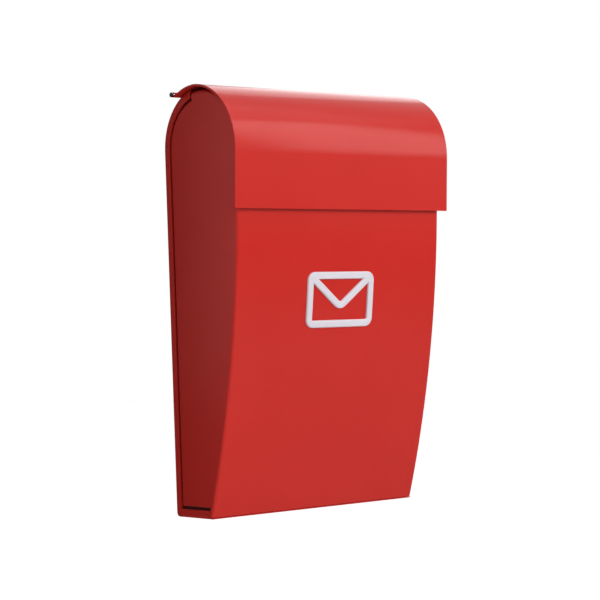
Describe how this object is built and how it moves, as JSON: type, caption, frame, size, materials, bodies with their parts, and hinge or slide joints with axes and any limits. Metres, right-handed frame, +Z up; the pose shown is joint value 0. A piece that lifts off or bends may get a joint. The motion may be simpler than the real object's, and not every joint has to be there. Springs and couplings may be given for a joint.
{
  "type": "wall letter box",
  "caption": "Wall-hung sheet steel letter box with a slim body, a curved front and an arched top, under a lid that swings up on a rod.",
  "frame": {"origin": "midway between the two wall screw holes, on the back face that lies against the wall", "axes": "+X to the right as one faces the box, +Y into the wall, +Z up"},
  "size_m": [0.257, 0.1132, 0.3846],
  "materials": {
    "red_enamel": "gloss powder coat",
    "white_enamel": "gloss, on the raised envelope of the visual model",
    "bare_steel": "zinc plated",
    "black_plastic": "matt"
  },
  "bodies": {
    "box": {"back_shell": "red_enamel", "front_shell": "red_enamel", "hinge_clip_left": "red_enamel", "hinge_clip_right": "red_enamel"},
    "lid": {"lid": "red_enamel", "hinge_rod": "bare_steel", "rod_cap_left": "black_plastic", "rod_cap_right": "black_plastic"}
  },
  "joints": [
    {"name": "lid_hinge", "type": "hinge", "parent": "box", "child": "lid", "pos_m": [0, -0.02517, 0.07838], "axis": [-1, 0, 0], "range_deg": [0, 110]}
  ]
}
